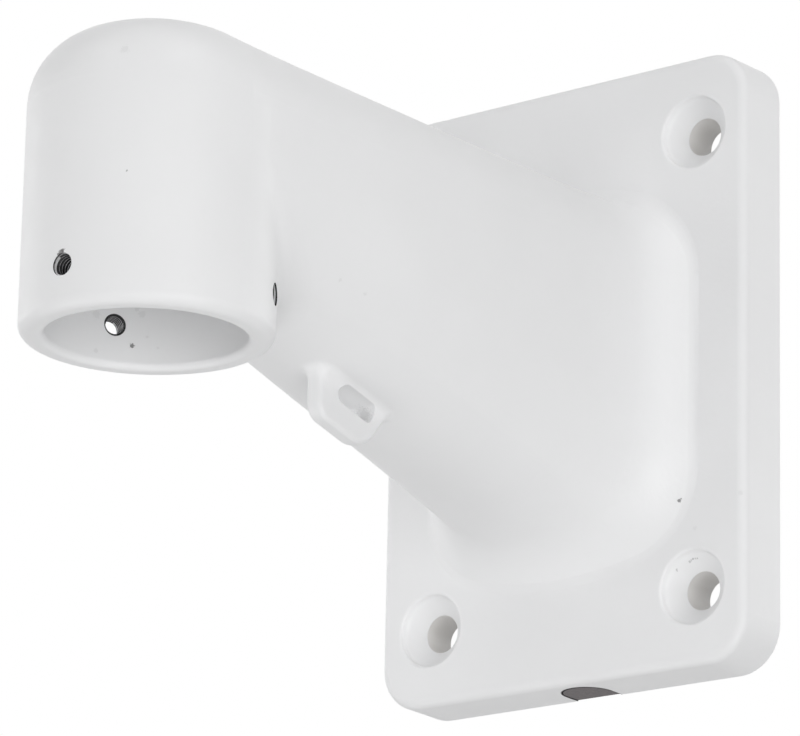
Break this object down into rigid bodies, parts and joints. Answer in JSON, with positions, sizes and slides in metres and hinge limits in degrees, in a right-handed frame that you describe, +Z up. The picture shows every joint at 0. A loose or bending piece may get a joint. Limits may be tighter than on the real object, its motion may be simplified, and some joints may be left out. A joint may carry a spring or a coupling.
{
  "type": "camera wall bracket",
  "caption": "Hollow cast wall arm for a pendant camera: flat wall plate, flared arm, upright tube with a bore for the camera's neck, safety-cord eyelet and a plugged cable notch.",
  "frame": {"origin": "centre of the wall plate's wall face, midway between the four screw holes", "axes": "+Y points into the wall, +Z is up, the arm reaches towards -Y and the camera hangs towards -Z"},
  "size_m": [0.126, 0.2274, 0.177],
  "materials": {
    "white_powder_coat": "satin, fine powder-coat texture over die-cast aluminium",
    "dark_rubber": "matt moulded rubber"
  },
  "bodies": {
    "root": {"bracket_casting": "white_powder_coat", "cable_notch_plug": "dark_rubber"}
  },
  "joints": []
}
